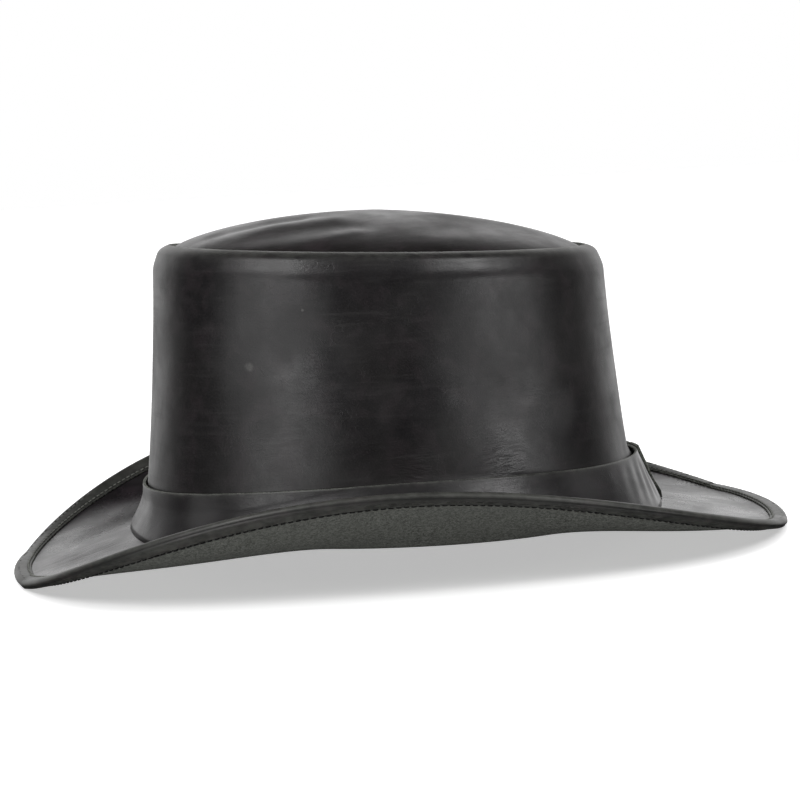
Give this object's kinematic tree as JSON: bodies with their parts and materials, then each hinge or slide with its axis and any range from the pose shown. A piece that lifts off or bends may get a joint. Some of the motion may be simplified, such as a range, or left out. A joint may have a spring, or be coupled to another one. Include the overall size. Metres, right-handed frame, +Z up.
{
  "type": "leather top hat",
  "caption": "Low leather top hat with a domed crown top, plain hat band and a bound brim curled up at the sides, resting on its brim.",
  "frame": {"origin": "centre of the brim's outline, on the surface that the hat rests on", "axes": "+Z up through the crown, -Y to the hat's front, +X to the wearer's left"},
  "size_m": [0.2666, 0.3484, 0.1503],
  "materials": {
    "crown_leather": "black waxed grain leather, satin",
    "tip_leather": "black waxed grain leather, satin, lightly wrinkled",
    "brim_leather": "black satin leather above, dark grey suede below",
    "binding_leather": "black satin leather strip folded over the edge",
    "band_leather": "black satin leather strip"
  },
  "bodies": {
    "root": {"crown_wall": "crown_leather", "crown_tip": "tip_leather", "brim": "brim_leather", "brim_binding": "binding_leather", "hat_band": "band_leather"}
  },
  "joints": []
}
